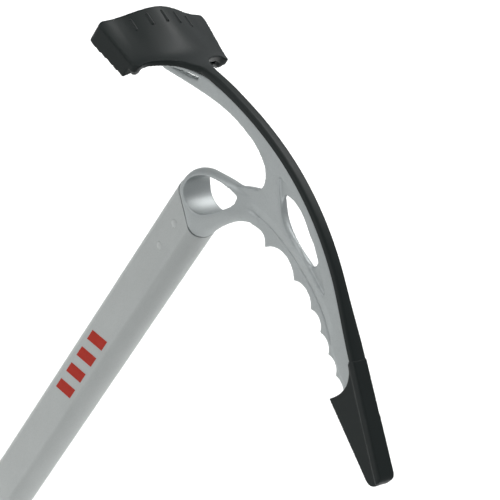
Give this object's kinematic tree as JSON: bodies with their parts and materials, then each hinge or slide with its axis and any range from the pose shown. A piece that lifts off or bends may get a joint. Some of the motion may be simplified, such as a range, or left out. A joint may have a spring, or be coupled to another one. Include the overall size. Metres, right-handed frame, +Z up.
{
  "type": "ice axe",
  "caption": "Straight oval-shafted ice axe with a curved toothed pick, an arched adze and a one-piece rubber head protector whose two end covers pull off.",
  "frame": {"origin": "on the shaft axis in the middle plane of the head, level with the lower part of the karabiner hole", "axes": "+Z up the shaft towards the head, +X towards the tip of the pick, +Y square to the flat side of the head"},
  "size_m": [0.2728, 0.0718, 0.5118],
  "materials": {
    "head_alloy": "machined and fine-blasted satin aluminium",
    "shaft_alloy": "satin anodised drawn aluminium tube",
    "adhesive": "cured structural adhesive",
    "rivet_alloy": "flush satin aluminium rivet",
    "plug_plastic": "moulded black nylon",
    "protector_rubber": "moulded dark rubber with a soft sheen"
  },
  "bodies": {
    "axe": {"head": "head_alloy", "shaft": "shaft_alloy", "tang_adhesive": "adhesive", "rivet_upper": "rivet_alloy", "rivet_lower": "rivet_alloy", "end_plug": "plug_plastic", "spine_strap": "protector_rubber"},
    "adze_cover": {"adze_guard": "protector_rubber"},
    "pick_cover": {"pick_sheath": "protector_rubber"}
  },
  "joints": [
    {"name": "adze_guard_pull", "type": "slide", "parent": "axe", "child": "adze_cover", "axis": [-1, 0, 0], "range_m": [0, 0.055]},
    {"name": "pick_sheath_pull", "type": "slide", "parent": "axe", "child": "pick_cover", "axis": [0.8762, 0, -0.4819], "range_m": [0, 0.055]}
  ]
}
